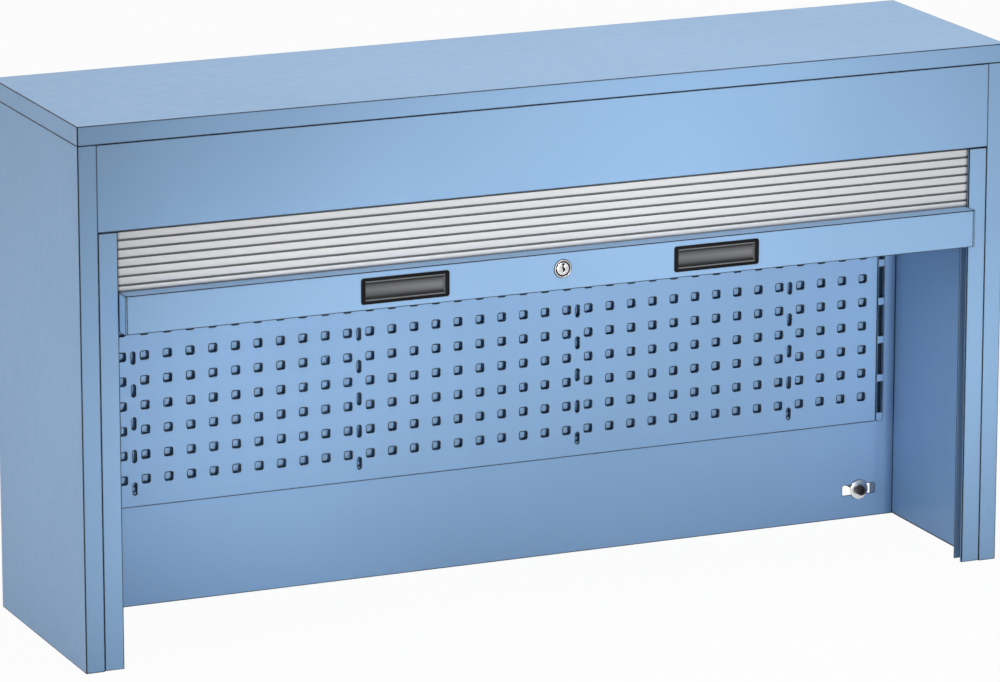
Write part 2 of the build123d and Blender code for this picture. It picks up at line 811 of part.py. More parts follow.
def shaft_bracket(side, bore_radius):
    """A plate on the side wall with a hub that faces the shaft."""
    with BuildPart() as bracket:
        with BuildSketch(shaft_plane(side * inner_half)):
            RectangleRounded(bracket_length, bracket_height, bracket_radius)
        extrude(amount=-side * bracket_thickness)
        with BuildSketch(shaft_plane(side * (inner_half - bracket_thickness))):
            Circle(hub_diameter / 2)
            Circle(bore_radius, mode=Mode.SUBTRACT)
        extrude(amount=-side * hub_length)
    return bracket


write(shaft_bracket(-1, rod_diameter / 2), "shaft_bracket_left")
write(shaft_bracket(1, journal_diameter / 2 + running_fit), "shaft_bracket_right")

with BuildPart() as spring_rod:
    with BuildSketch(shaft_plane(-inner_half + bracket_thickness)):
        Circle(rod_diameter / 2)
    extrude(amount=rod_reach)
write(spring_rod, "spring_rod")

with BuildPart() as balance_spring:
    with BuildSketch(shaft_plane(-shaft_half + plug_length)):
        Circle(spring_diameter / 2)
        Circle(rod_diameter / 2 + slat_play, mode=Mode.SUBTRACT)
    extrude(amount=spring_length)
write(balance_spring, "balance_spring")
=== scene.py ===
import json
import math

import bmesh
import bpy
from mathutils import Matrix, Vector


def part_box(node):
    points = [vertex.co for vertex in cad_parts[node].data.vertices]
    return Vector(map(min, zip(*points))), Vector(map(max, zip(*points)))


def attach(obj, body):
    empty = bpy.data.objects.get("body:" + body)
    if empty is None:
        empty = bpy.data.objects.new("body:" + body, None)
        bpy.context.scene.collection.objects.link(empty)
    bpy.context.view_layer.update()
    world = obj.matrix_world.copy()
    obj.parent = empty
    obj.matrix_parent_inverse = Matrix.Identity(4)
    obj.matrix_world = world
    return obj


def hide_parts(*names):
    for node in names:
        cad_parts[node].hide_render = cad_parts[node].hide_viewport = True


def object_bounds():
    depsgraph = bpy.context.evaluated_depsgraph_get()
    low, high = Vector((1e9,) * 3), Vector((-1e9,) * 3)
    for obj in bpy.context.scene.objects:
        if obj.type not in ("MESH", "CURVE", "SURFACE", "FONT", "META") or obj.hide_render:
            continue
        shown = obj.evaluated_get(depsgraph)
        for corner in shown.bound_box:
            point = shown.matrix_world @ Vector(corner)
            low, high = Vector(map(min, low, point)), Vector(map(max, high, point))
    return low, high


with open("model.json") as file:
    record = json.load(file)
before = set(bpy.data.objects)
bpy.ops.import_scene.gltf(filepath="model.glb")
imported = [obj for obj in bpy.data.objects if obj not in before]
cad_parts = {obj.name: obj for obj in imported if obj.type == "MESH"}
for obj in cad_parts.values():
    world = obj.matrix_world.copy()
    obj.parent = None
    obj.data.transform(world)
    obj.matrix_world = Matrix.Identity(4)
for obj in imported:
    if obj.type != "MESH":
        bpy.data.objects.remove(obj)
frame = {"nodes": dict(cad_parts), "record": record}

cad_low, cad_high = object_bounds()
scene = bpy.context.scene
scene.view_settings.view_transform = "Standard"
MM = 0.001
SIDES = ("left", "right")

# ---------------- sizes that the frame doesn't hold, in metres
SLAT_PITCH = 14 * MM
SLAT_GAP = 3.3 * MM
SLAT_GROOVE = 2.9 * MM
SLAT_CROWN = 0.12 * MM
SLAT_SHOULDER = 0.35 * MM
HOLE_SIZE = 11.6 * MM
HOLE_CORNER = 1.6 * MM
COLUMN_PITCH = 38 * MM
ROW_PITCH = 40 * MM
PANEL_MARGIN = 26 * MM
SLOT_WIDTH = 5 * MM
SLOT_LENGTH = 18 * MM
SLOT_PITCH = 53 * MM
SLOT_FOOT = 30 * MM
PUNCH_EDGE = 1.3 * MM
PANEL_CORNER = 2 * MM
# sizes of the painted shade sheets behind the uprights' windows
SHADE_SHEET_GAP = 2 * MM
SHADE_SHEET_CORNER = 0.5 * MM
SHADE_SHEET_THICKNESS = 0.6 * MM
GRIP_SIDE_BORDER = 7 * MM
GRIP_RIM_BORDER = 5.2 * MM
GRIP_LIP = 1.8 * MM
GRIP_CORNER = 4 * MM
GRIP_INNER_CORNER = 1.2 * MM
GRIP_EDGE = 0.5 * MM
GRIP_DEPTH = 6.5 * MM
GRIP_END = 3 * MM
RING_SHANK = 4 * MM
RING_SHANK_STEP = 1 * MM
RING_SIDE = 0.8 * MM
RING_SHOULDER = 1.6 * MM
RING_SHOULDER_STEP = 0.3 * MM
RING_FACE_STEP = 0.8 * MM
RING_BORE_EDGE = 0.4 * MM
SEAL_RIM = 0.8 * MM
SEAL_OVERLAP = 2 * MM
SEAL_THICKNESS = 0.4 * MM
PLUG_RADIUS = 10 * MM
PLUG_EDGE = 0.2 * MM
PLUG_FACE_THICKNESS = 1 * MM
GROOVE_WIDTH = 2.3 * MM
GROOVE_INNER_OVERLAP = 0.4 * MM
GROOVE_OUTER_OVERLAP = 0.3 * MM
GROOVE_FRONT = 0.1 * MM
GROOVE_BACK = 0.3 * MM
BARREL_STEP = 0.5 * MM
BARREL_START = 2 * MM
KEYWAY_START = 0.4 * MM
KEYWAY_END = 6 * MM
SCREW_HEAD = 16 * MM
SCREW_HEAD_HEIGHT = 10 * MM
SCREW_HEAD_EDGE = 0.7 * MM
SCREW_SOCKET = 8 * MM
SOCKET_FLOOR = 2 * MM
SOCKET_FLOOR_STEP = 1 * MM
KNURL_DEPTH = 0.35 * MM
THREAD_RADIUS = 4.9 * MM
THREAD_TIP = 1 * MM
THREAD_TIP_RADIUS = 4 * MM
SHANK_OVERLAP = 1 * MM
WASHER_HOLE = 11 * MM
WASHER_EDGE = 0.35 * MM
MERGE_DISTANCE = 0.002 * MM

# ---------------- counts and shares, and the keyway's outline in millimetres from the plug's middle
CROWN_STEPS = 8
SLOT_STEP = 10
FIRST_SLOT = 2.5
ROUND_END = 0.499
BLANK_THICKNESS = 2.5
GRIP_FULLNESS = 0.8
GRIP_END_STEPS = 6
GRIP_ARC_STEPS = 24
KNURL_COUNT = 36
SOCKET_CORNERS = 6
FINE_CIRCLE = 64
CIRCLE = 48
COARSE_CIRCLE = 32
SHADER_SAMPLES = 6
KEYWAY_OUTLINE = (
    (-1.9, 8.4), (3.2, 8.4), (3.1, 6.6), (1.9, 5.4), (0.8, 3.2), (1.6, 1.6), (3.7, 0.4), (3.8, -3.6),
    (2.2, -4.6), (0.7, -5.0), (-0.4, -7.0), (-1.2, -6.7), (-0.4, -4.6), (0.1, -3.4), (-0.1, -0.8),
    (-0.8, 0.6), (-1.7, 2.4), (-0.1, 5.2), (-0.4, 6.4), (-1.9, 6.6),
)


# ---------------- materials
BLUE = (0.285, 0.462, 0.70)
# painted shade: the near-black colour that seams, joints and creases are darkened to, and how quickly that
# darkening fades out
PAINTED_SHADE_COLOUR = (0.012, 0.016, 0.022, 1.0)
PAINTED_SHADE_FALL = 0.4


class Shader:
    """A material's node tree with short calls to fill it."""

    def __init__(self, name, **sockets):
        self.material = bpy.data.materials.new(name)
        self.material.use_nodes = True
        self.tree = self.material.node_tree
        self.surface = self.tree.nodes["Principled BSDF"]
        for socket, value in sockets.items():
            self.surface.inputs[socket.replace("_", " ")].default_value = value
        self.place = self.add("ShaderNodeTexCoord").outputs["Object"]

    def add(self, kind, settings=None, **sockets):
        node = self.tree.nodes.new(kind)
        for key, value in (settings or {}).items():
            setattr(node, key, value)
        for key, value in sockets.items():
            self.put(node.inputs[key.replace("_", " ")], value)
        return node

    def put(self, socket, value):
        if isinstance(value, bpy.types.NodeSocket):
            self.tree.links.new(value, socket)
        else:
            socket.default_value = value

    def noise(self, scale, detail=2.0, stretch=(1, 1, 1)):
        """Noise of about scale blobs a metre along each axis, times its stretch."""
        mapping = self.add("ShaderNodeMapping", Vector=self.place, Scale=stretch)
        vector = mapping.outputs["Vector"]
        return self.add("ShaderNodeTexNoise", Vector=vector, Scale=scale, Detail=detail).outputs["Fac"]

    def spread(self, value, low, high):
        """The middle of a noise value, stretched to run from low to high."""
        limits = {"From_Min": 0.3, "From_Max": 0.7, "To_Min": low, "To_Max": high}
        return self.add("ShaderNodeMapRange", Value=value, **limits).outputs["Result"]

    def blend(self, factor, first, second):
        """The first colour at a factor of 0 and the second at 1."""
        node = self.add("ShaderNodeMix", {"data_type": "RGBA"})
        self.put(node.inputs[0], factor)
        self.put(node.inputs[6], first)
        self.put(node.inputs[7], second)
        return node.outputs[2]

    def rounded_normal(self, radius):
        """The surface's direction as if every edge were rounded by the radius."""
        return self.add("ShaderNodeBevel", {"samples": SHADER_SAMPLES}, Radius=radius).outputs["Normal"]

    def edge_mask(self, rounded, flat=0.995, full=0.8):
        """0 on the flat and 1 along an edge, where the rounded normal leaves the true one."""
        true = self.add("ShaderNodeNewGeometry").outputs["True Normal"]
        dot = self.add("ShaderNodeVectorMath", {"operation": "DOT_PRODUCT"})
        self.put(dot.inputs[0], rounded)
        self.put(dot.inputs[1], true)
        limits = {"From_Min": flat, "From_Max": full, "To_Min": 0.0, "To_Max": 1.0}
        return self.add("ShaderNodeMapRange", Value=dot.outputs["Value"], **limits).outputs["Result"]

    def lie(self, output):
        """How far the surface faces along x, y and z, without sign."""
        facing = self.add("ShaderNodeNewGeometry").outputs[output]
        size = self.add("ShaderNodeVectorMath", {"operation": "ABSOLUTE"}, Vector=facing)
        return self.add("ShaderNodeSeparateXYZ", Vector=size.outputs["Vector"]).outputs

    def larger(self, first, second):
        """The larger of two values."""
        node = self.add("ShaderNodeMath", {"operation": "MAXIMUM"})
        self.put(node.inputs[0], first)
        self.put(node.inputs[1], second)
        return node.outputs["Value"]

    def askew(self):
        """1 on a face that lies across the cabinet's axes, as its folds and broken edges do."""
        x, y, z = self.lie("True Normal")
        straight = self.larger(self.larger(x, y), z)
        limits = {"From_Min": 0.999, "From_Max": 0.97, "To_Min": 0.0, "To_Max": 1.0}
        return self.add("ShaderNodeMapRange", Value=straight, **limits).outputs["Result"]

    def painted_crevice_shade(self, base, reach, depth, clear):
        """The colour darkened nearly to black where other surfaces stand within reach: painted shade in
        seams, joints and creases.
        """
        around = self.add("ShaderNodeAmbientOcclusion", {"samples": SHADER_SAMPLES}, Distance=reach)
        limits = {"From_Min": clear - PAINTED_SHADE_FALL, "From_Max": clear, "To_Min": depth, "To_Max": 0.0}
        shade = self.add("ShaderNodeMapRange", Value=around.outputs["AO"], **limits).outputs["Result"]
        return self.blend(shade, base, PAINTED_SHADE_COLOUR)

    def bump(self, height, strength, distance, normal=None):
        node = self.add("ShaderNodeBump", Height=height, Strength=strength, Distance=distance)
        if normal is not None:
            self.put(node.inputs["Normal"], normal)
        return node.outputs["Normal"]

    def finish(self, colour, roughness, normal):
        self.put(self.surface.inputs["Base Color"], colour)
        self.put(self.surface.inputs["Roughness"], roughness)
        self.put(self.surface.inputs["Normal"], normal)
        return self.material


def tone(colour, factor):
    return tuple(min(1.0, channel * factor) for channel in colour) + (1.0,)


def powder_coat(name, colour):
    """Powder paint: a fine orange peel, a slow drift in tone, and painted shade that darkens folds, broken
    edges and seams.
    """
    shader = Shader(name, Specular_IOR_Level=0.16, Coat_Weight=0.02, Coat_Roughness=0.25)
    drift = shader.spread(shader.noise(2.6, detail=3.0), 0.0, 1.0)
    base = shader.blend(drift, tone(colour, 0.965), tone(colour, 1.03))
    speck = shader.spread(shader.noise(700.0), 0.0, 1.0)
    base = shader.blend(speck, base, shader.blend(0.05, base, tone(colour, 0.7)))
    rounded = shader.rounded_normal(radius=1.1 * MM)
    # painted shade: folds, broken edges and askew faces turned near-black, as dark lines along the edges
    along_edges = shader.edge_mask(shader.rounded_normal(radius=2.4 * MM), flat=0.998, full=0.965)
    fold = shader.larger(shader.askew(), along_edges)
    base = shader.blend(fold, base, tone(colour, 0.05))
    # painted shade: darker where other surfaces stand close, in seams and creases
    base = shader.painted_crevice_shade(base, reach=3.5 * MM, depth=0.97, clear=0.84)
    peel = shader.bump(shader.noise(420.0), strength=0.18, distance=0.12 * MM, normal=rounded)
    rough = shader.spread(shader.noise(55.0, detail=3.0), 0.36, 0.47)
    return shader.finish(base, rough, peel)


def drawn_aluminium(name, colour):
    """Anodised extrusion: hair-fine die lines along the slats, faint streaks, and painted shade that darkens
    the joints.
    """
    shader = Shader(name, Metallic=0.2, Specular_IOR_Level=0.35, Anisotropic=0.3)
    lines = shader.noise(60.0, detail=4.0, stretch=(0.05, 40.0, 40.0))
    streak = shader.spread(shader.noise(9.0, detail=3.0, stretch=(0.12, 8.0, 8.0)), 0.0, 1.0)
    base = shader.blend(streak, tone(colour, 0.975), tone(colour, 1.015))
    # painted shade: the joints between slats darkened nearly to black
    base = shader.painted_crevice_shade(base, reach=6.0 * MM, depth=0.99, clear=0.92)
    rounded = shader.rounded_normal(radius=0.3 * MM)
    normal = shader.bump(lines, strength=0.12, distance=0.03 * MM, normal=rounded)
    return shader.finish(base, shader.spread(lines, 0.4, 0.5), normal)


def moulded_plastic(name, colour):
    """Black polyamide with a spark-eroded grain and slightly paler edges."""
    shader = Shader(name, Specular_IOR_Level=0.08)
    rounded = shader.rounded_normal(radius=0.6 * MM)
    grain = shader.noise(1500.0, detail=3.0)
    clouds = shader.spread(shader.noise(14.0), 0.0, 1.0)
    base = shader.blend(clouds, tone(colour, 0.85), tone(colour, 1.15))
    base = shader.blend(shader.edge_mask(rounded), base, tone(colour, 1.9))
    normal = shader.bump(grain, strength=0.35, distance=0.08 * MM, normal=rounded)
    return shader.finish(base, shader.spread(grain, 0.5, 0.62), normal)


def painted_light_plastic(name, painted_light, dark):
    """Black plastic inside a finger hollow, painted lighter where it faces forward and painted darker, as
    shade, where it turns up or down towards its rims.
    """
    shader = Shader(name, Specular_IOR_Level=0.2)
    # painted light and shade: lighter where the surface faces forward, dark where it faces up or down
    slope = shader.lie("Normal")["Z"]
    limits = {"From_Min": 0.0, "From_Max": 0.5, "To_Min": 0.0, "To_Max": 1.0}
    away = shader.add("ShaderNodeMapRange", Value=slope, **limits).outputs["Result"]
    base = shader.blend(away, (*painted_light, 1.0), (*dark, 1.0))
    grain = shader.noise(1500.0, detail=3.0)
    normal = shader.bump(grain, strength=0.3, distance=0.06 * MM)
    return shader.finish(base, shader.spread(grain, 0.4, 0.5), normal)


def plated_metal(name, colour, low, high, cloud):
    """Plated metal: a cloudy tone, a roughness from low to high, fine scratches and brighter edges."""
    shader = Shader(name, Metallic=1.0)
    rounded = shader.rounded_normal(radius=0.4 * MM)
    clouds = shader.spread(shader.noise(cloud, detail=4.0), 0.0, 1.0)
    base = shader.blend(clouds, tone(colour, 0.88), tone(colour, 1.06))
    base = shader.blend(shader.edge_mask(rounded), base, tone(colour, 1.25))
    lines = shader.noise(300.0, detail=4.0, stretch=(6.0, 1.0, 0.25))
    normal = shader.bump(lines, strength=0.2, distance=0.03 * MM, normal=rounded)
    return shader.finish(base, shader.spread(clouds, low, high), normal)


def oxide_steel(name, colour):
    """Black oxide on steel: oily, a little blotched, with grey rubbed edges."""
    shader = Shader(name, Metallic=0.6, Specular_IOR_Level=0.6)
    rounded = shader.rounded_normal(radius=0.35 * MM)
    blotches = shader.spread(shader.noise(90.0, detail=4.0), 0.0, 1.0)
    base = shader.blend(blotches, tone(colour, 0.7), tone(colour, 1.3))
    base = shader.blend(shader.edge_mask(rounded), base, (0.16, 0.16, 0.17, 1.0))
    grain = shader.noise(900.0)
    normal = shader.bump(grain, strength=0.2, distance=0.05 * MM, normal=rounded)
    return shader.finish(base, shader.spread(grain, 0.34, 0.5), normal)


def extruded_rubber(name, colour):
    """Matt rubber with faint extrusion lines along its length."""
    shader = Shader(name, Specular_IOR_Level=0.3)
    lines = shader.noise(80.0, detail=3.0, stretch=(0.1, 20.0, 20.0))
    bloom = shader.spread(shader.noise(25.0, detail=3.0), 0.0, 1.0)
    base = shader.blend(bloom, tone(colour, 0.8), tone(colour, 1.4))
    normal = shader.bump(lines, strength=0.4, distance=0.1 * MM)
    return shader.finish(base, shader.spread(lines, 0.72, 0.88), normal)


materials = {
    "blue_paint": powder_coat("blue_paint", BLUE),
    # painted shade: the near-black navy of the sheets behind the uprights' windows
    "painted_shade": powder_coat("painted_shade", (0.012, 0.03, 0.055)),
    "slat_aluminium": drawn_aluminium("slat_aluminium", (0.59, 0.593, 0.6)),
    "black_plastic": moulded_plastic("black_plastic", (0.005, 0.005, 0.006)),
    # painted light and shade for the grip hollows: lighter in the middle, dark at the rims
    "painted_light_plastic": painted_light_plastic("painted_light_plastic", (0.16, 0.162, 0.166), (0.018, 0.019, 0.02)),
    "lock_chrome": plated_metal("lock_chrome", (0.62, 0.62, 0.635), low=0.2, high=0.3, cloud=60.0),
    "zinc_steel": plated_metal("zinc_steel", (0.64, 0.65, 0.66), low=0.26, high=0.42, cloud=22.0),
    "black_steel": oxide_steel("black_steel", (0.03, 0.03, 0.032)),
    "seal_rubber": extruded_rubber("seal_rubber", (0.02, 0.02, 0.02)),
}
for part in frame["record"]["subparts"]:
    node = frame["nodes"][part["node"]]
    node.data.materials.clear()
    node.data.materials.append(materials[part["material_slot"]])


# ---------------- making pieces
def piece(name, mesh, slot, body, replaced=(), sharp=28, finish=None):
    """A mesh as a named piece that rides on a body, with its slot's finish or one of its own."""
    built = bmesh.new()
    built.from_mesh(mesh)
    bmesh.ops.remove_doubles(built, verts=built.verts, dist=MERGE_DISTANCE)
    bmesh.ops.recalc_face_normals(built, faces=built.faces)
    for face in built.faces:
        face.smooth = True
    for edge in built.edges:
        edge.smooth = len(edge.link_faces) == 2 and edge.calc_face_angle() < math.radians(sharp)
    built.to_mesh(mesh)
    built.free()
    made = bpy.data.objects.new(name, mesh)
    mesh.materials.clear()
    mesh.materials.append(materials[finish or slot])
    scene.collection.objects.link(made)
    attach(made, body)
    if replaced:
        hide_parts(*replaced)


def joined(meshes):
    """Several meshes as one."""
    built = bmesh.new()
    for mesh in meshes:
        built.from_mesh(mesh)
    whole = bpy.data.meshes.new("joined")
    built.to_mesh(whole)
    built.free()
    return whole


def rounded_box(middle, size, radius, steps=3):
    """The points of a rectangle with rounded corners, anticlockwise."""
    points = []
    for corner in range(4):
        side_x = 1 if corner in (0, 3) else -1
        side_y = 1 if corner < 2 else -1
        centre_x = middle[0] + side_x * (size[0] / 2 - radius)
        centre_y = middle[1] + side_y * (size[1] / 2 - radius)
        for step in range(steps + 1):
            angle = math.pi / 2 * (corner + step / steps)
            points.append((centre_x + radius * math.cos(angle), centre_y + radius * math.sin(angle)))
    return points


def ring_points(middle, radius, count, start=0.0):
    """Points spread evenly round a circle, from a start angle on."""
    turns = [start + 2 * math.pi * step / count for step in range(count)]
    return [(middle[0] + radius * math.cos(turn), middle[1] + radius * math.sin(turn)) for turn in turns]


def plate(outlines, front, thickness, edge, steps=1):
    """A flat plate that faces the front, with its outline first and its holes after, and broken edges."""
    curve = bpy.data.curves.new("plate", "CURVE")
    curve.dimensions = "2D"
    curve.fill_mode = "BOTH"
    curve.extrude = thickness / 2 - edge
    curve.bevel_depth = edge
    curve.bevel_resolution = steps
    curve.offset = -edge
    for outline in outlines:
        spline = curve.splines.new("POLY")
        spline.points.add(len(outline) - 1)
        for point, (x, z) in zip(spline.points, outline):
            point.co = (x, z, 0, 1)
        spline.use_cyclic_u = True
    helper = bpy.data.objects.new("plate", curve)
    scene.collection.objects.link(helper)
    seen = helper.evaluated_get(bpy.context.evaluated_depsgraph_get())
    mesh = bpy.data.meshes.new_from_object(seen)
    bpy.data.objects.remove(helper)
    bpy.data.curves.remove(curve)
    for vertex in mesh.vertices:
        x, z, y = vertex.co
        vertex.co = (x, front + thickness / 2 - y, z)
    return mesh


def sections(rings, capped=True):
    """A skin over closed rings of points, with its first and last ring filled if it is capped."""
    built = bmesh.new()
    made = [[built.verts.new(point) for point in ring] for ring in rings]
    count = len(rings[0])
    for first, second in zip(made, made[1:]):
        for step in range(count):
            after = (step + 1) % count
            built.faces.new((first[step], first[after], second[after], second[step]))
    if capped:
        built.faces.new(made[0])
        built.faces.new(list(reversed(made[-1])))
    mesh = bpy.data.meshes.new("skin")
    built.to_mesh(mesh)
    built.free()
    return mesh


def drawn_along_x(outline, start, end):
    """A profile of (y, z) points, drawn from one x to another."""
    return sections([[(x, y, z) for y, z in outline] for x in (start, end)])


def turned(profile, middle, steps, hollow=False):
    """A profile of (radius, y) points, turned about a line along y through middle (x, z).

    A hollow one is a closed profile that keeps clear of the line.
    """
    if hollow:
        profile = [*profile, profile[0]]
    rings = []
    for radius, y in profile:
        circle = ring_points(middle, radius, steps)
        rings.append([(x, y, z) for x, z in circle])
    return sections(rings, capped=not hollow)


def tube_profile(inner, outer, front, back):
    """The (radius, y) corners of a plain ring."""
    return [(inner, front), (outer, front), (outer, back), (inner, back)]


# ---------------- slatted curtain: crowned slats with a deep joint between each two
def slat_face(front, foot):
    """The (y, z) points up the crowned face of one slat, with half a joint at either end."""
    face_foot = foot + SLAT_GAP / 2
    face_top = foot + SLAT_PITCH - SLAT_GAP / 2
    shoulder = front + SLAT_CROWN + SLAT_SHOULDER
    crowned_height = face_top - face_foot - SLAT_SHOULDER * 2
    points = [(front + SLAT_GROOVE, face_foot), (shoulder, face_foot)]
    for step in range(CROWN_STEPS + 1):
        share = step / CROWN_STEPS
        level = face_foot + SLAT_SHOULDER + crowned_height * share
        points.append((front + SLAT_CROWN * (2 * share - 1) ** 2, level))
    return [*points, (shoulder, face_top), (front + SLAT_GROOVE, face_top)]


def slatted_run(number, body):
    """All the slats of one run, as one closed skin."""
    node = f"curtain_run_{number}"
    low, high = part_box(node)
    count = int((high.z - low.z) / SLAT_PITCH)
    top = low.z + count * SLAT_PITCH
    outline = [(low.y + SLAT_GROOVE, low.z)]
    for slat in range(count):
        outline += slat_face(low.y, low.z + slat * SLAT_PITCH)
    outline += [(low.y + SLAT_GROOVE, top), (high.y, top), (high.y, low.z)]
    run = drawn_along_x(outline, low.x, high.x)
    piece(f"slats_of_run_{number}", run, "slat_aluminium", body, [node], sharp=24)


for number, body in enumerate(("shutter", "curtain_2", "curtain_3", "curtain_4"), 1):
    slatted_run(number, body)


# ---------------- perforated panel, punched with rounded square holes and small slots
def flatten_back(mesh, back):
    """Presses what reaches behind the back plane into it, which leaves broken edges at the front alone."""
    for vertex in mesh.vertices:
        vertex.co.y = min(vertex.co.y, back)


def tool_panel():
    """The panel on the holes' and slots' own grid, starting from a blank thicker than its sheet."""
    low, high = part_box("perforated_panel")
    middle = (low + high) / 2
    width, height = high.x - low.x, high.z - low.z
    columns = int((width - PANEL_MARGIN * 2) / COLUMN_PITCH) + 1
    rows = int((height - PANEL_MARGIN * 2) / ROW_PITCH) + 1
    first_x = middle.x - COLUMN_PITCH * (columns - 1) / 2
    first_z = middle.z - ROW_PITCH * (rows - 1) / 2
    outlines = [rounded_box((middle.x, middle.z), (width, height), PANEL_CORNER)]
    for column in range(columns):
        for row in range(rows):
            place = (first_x + column * COLUMN_PITCH, first_z + row * ROW_PITCH)
            outlines.append(rounded_box(place, (HOLE_SIZE, HOLE_SIZE), HOLE_CORNER, steps=2))
    slot_rows = int((height - SLOT_FOOT * 2) / SLOT_PITCH) + 1
    slot_columns = int((columns - 1 - FIRST_SLOT) / SLOT_STEP) + 1
    for column in range(slot_columns):
        x = first_x + (FIRST_SLOT + column * SLOT_STEP) * COLUMN_PITCH
        for row in range(slot_rows):
            place = (x, low.z + SLOT_FOOT + row * SLOT_PITCH)
            outlines.append(rounded_box(place, (SLOT_WIDTH, SLOT_LENGTH), SLOT_WIDTH * ROUND_END, steps=4))
    mesh = plate(outlines, low.y, PUNCH_EDGE * BLANK_THICKNESS, PUNCH_EDGE, steps=0)
    flatten_back(mesh, high.y)
    piece("punched_tool_panel", mesh, "blue_paint", "case", ["perforated_panel"], sharp=20)


tool_panel()


def upright_shade_sheet(side):
    """A dark sheet inside the back of a slotted upright: painted shade, seen through its windows."""
    low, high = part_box(f"panel_upright_{side}")
    size = (high.x - low.x - SHADE_SHEET_GAP * 2, high.z - low.z - SHADE_SHEET_GAP * 2)
    outline = rounded_box(((low.x + high.x) / 2, (low.z + high.z) / 2), size, SHADE_SHEET_CORNER)
    shade_sheet = plate([outline], high.y - SHADE_SHEET_GAP, SHADE_SHEET_THICKNESS, edge=0)
    # painted shade: a near-black navy that stands for the dark inside of the upright
    piece(f"upright_shade_sheet_{side}", shade_sheet, "blue_paint", "case", finish="painted_shade")


for side in SIDES:
    upright_shade_sheet(side)


# ---------------- cup grips
def cup_grip(side):
    """A rounded frame and, inside it, a trough that closes round at both ends."""
    node = f"cup_grip_{side}"
    low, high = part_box(node)
    middle = (low + high) / 2
    size = (high.x - low.x, high.z - low.z)
    inner = (size[0] - GRIP_SIDE_BORDER * 2, size[1] - GRIP_RIM_BORDER * 2)
    bar_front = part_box("handle_bar")[0].y
    flange = bar_front - low.y
    outer_ring = rounded_box((middle.x, middle.z), size, GRIP_CORNER, steps=6)
    inner_ring = rounded_box((middle.x, middle.z), inner, GRIP_INNER_CORNER, steps=6)
    frame_ring = plate([outer_ring, inner_ring], low.y, flange, GRIP_EDGE, steps=2)
    piece(f"grip_frame_{side}", frame_ring, "black_plastic", "shutter", [node], sharp=30)

    start = middle.x - inner[0] / 2
    end = middle.x + inner[0] / 2
    bends = [math.pi / 2 * step / GRIP_END_STEPS for step in range(GRIP_END_STEPS + 1)]
    stations = [(start + GRIP_END * (1 - math.cos(bend)), math.sin(bend)) for bend in bends]
    stations += [(end - GRIP_END * (1 - math.cos(bend)), math.sin(bend)) for bend in reversed(bends)]
    arc = [math.pi * step / GRIP_ARC_STEPS for step in range(GRIP_ARC_STEPS + 1)]
    half_height = inner[1] / 2
    reach = half_height - GRIP_LIP
    trough = []
    for x, share in stations:
        depth = GRIP_DEPTH * share
        curve = [(depth * math.sin(turn) ** GRIP_FULLNESS, reach * math.cos(turn)) for turn in arc]
        curve = [(0.0, half_height), *curve, (0.0, -half_height)]
        front = [(x, low.y + GRIP_EDGE + inset, middle.z + rise) for inset, rise in curve]
        back = [(x, high.y, middle.z + rise) for rise in (-half_height, half_height)]
        trough.append(front + back)
    hollow = sections(trough)
    piece(f"grip_hollow_{side}", hollow, "black_plastic", "shutter", finish="painted_light_plastic")


for side in SIDES:
    cup_grip(side)


# ---------------- lock: a turned ring, and a plug with a warded keyway
def lock():
    low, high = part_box("lock_housing")
    centre = ((low.x + high.x) / 2, (low.z + high.z) / 2)
    radius = (high.x - low.x) / 2 - SEAL_RIM
    bar_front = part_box("handle_bar")[0].y
    plug_low, plug_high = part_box("lock_plug")
    face = plug_low.y
    bore = PLUG_RADIUS + GROOVE_WIDTH
    profile = [
        (radius - RING_SHANK_STEP, bar_front + RING_SHANK),
        (radius - RING_SHANK_STEP, bar_front),
        (radius, bar_front),
        (radius, bar_front - RING_SIDE),
        (radius - RING_SHOULDER_STEP, bar_front - RING_SHOULDER),
        (radius - RING_FACE_STEP, low.y),
        (bore + RING_BORE_EDGE, low.y),
        (bore, low.y + RING_BORE_EDGE),
        (bore, bar_front + RING_SHANK),
    ]
    ring = turned(profile, centre, FINE_CIRCLE, hollow=True)
    piece("lock_ring", ring, "lock_chrome", "shutter", ["lock_housing"])

    rim = tube_profile(radius - SEAL_OVERLAP, radius + SEAL_RIM, bar_front - SEAL_THICKNESS, bar_front)
    groove_inner = PLUG_RADIUS - GROOVE_INNER_OVERLAP
    groove_outer = bore + GROOVE_OUTER_OVERLAP
    groove = tube_profile(groove_inner, groove_outer, face + GROOVE_FRONT, face + GROOVE_BACK)
    seals = [turned(seal, centre, FINE_CIRCLE, hollow=True) for seal in (rim, groove)]
    piece("lock_seal", joined(seals), "black_plastic", "shutter")

    keyway = [(centre[0] + x * MM, centre[1] + z * MM) for x, z in KEYWAY_OUTLINE]
    circle = ring_points(centre, PLUG_RADIUS, FINE_CIRCLE)
    disc = plate([circle, keyway], face, PLUG_FACE_THICKNESS, PLUG_EDGE)
    barrel_radius = PLUG_RADIUS - BARREL_STEP
    barrel = turned([(barrel_radius, face + BARREL_START), (barrel_radius, plug_high.y)], centre, CIRCLE)
    piece("lock_plug_face", joined([disc, barrel]), "lock_chrome", "lock_core", ["lock_plug"])
    ends = (face + KEYWAY_START, face + KEYWAY_END)
    pit = sections([[(x, y, z) for x, z in keyway] for y in ends])
    piece("lock_keyway", pit, "black_steel", "lock_core", finish="black_plastic")


lock()


# ---------------- fixing screws with knurled socket heads, on turned washers
def knurled_circle(centre):
    """The outline of a screw head with fine grooves along its side."""
    points = []
    for step in range(KNURL_COUNT * 2):
        radius = SCREW_HEAD / 2 if step % 2 == 0 else SCREW_HEAD / 2 - KNURL_DEPTH
        turn = math.pi * step / KNURL_COUNT
        points.append((centre[0] + radius * math.cos(turn), centre[1] + radius * math.sin(turn)))
    return points


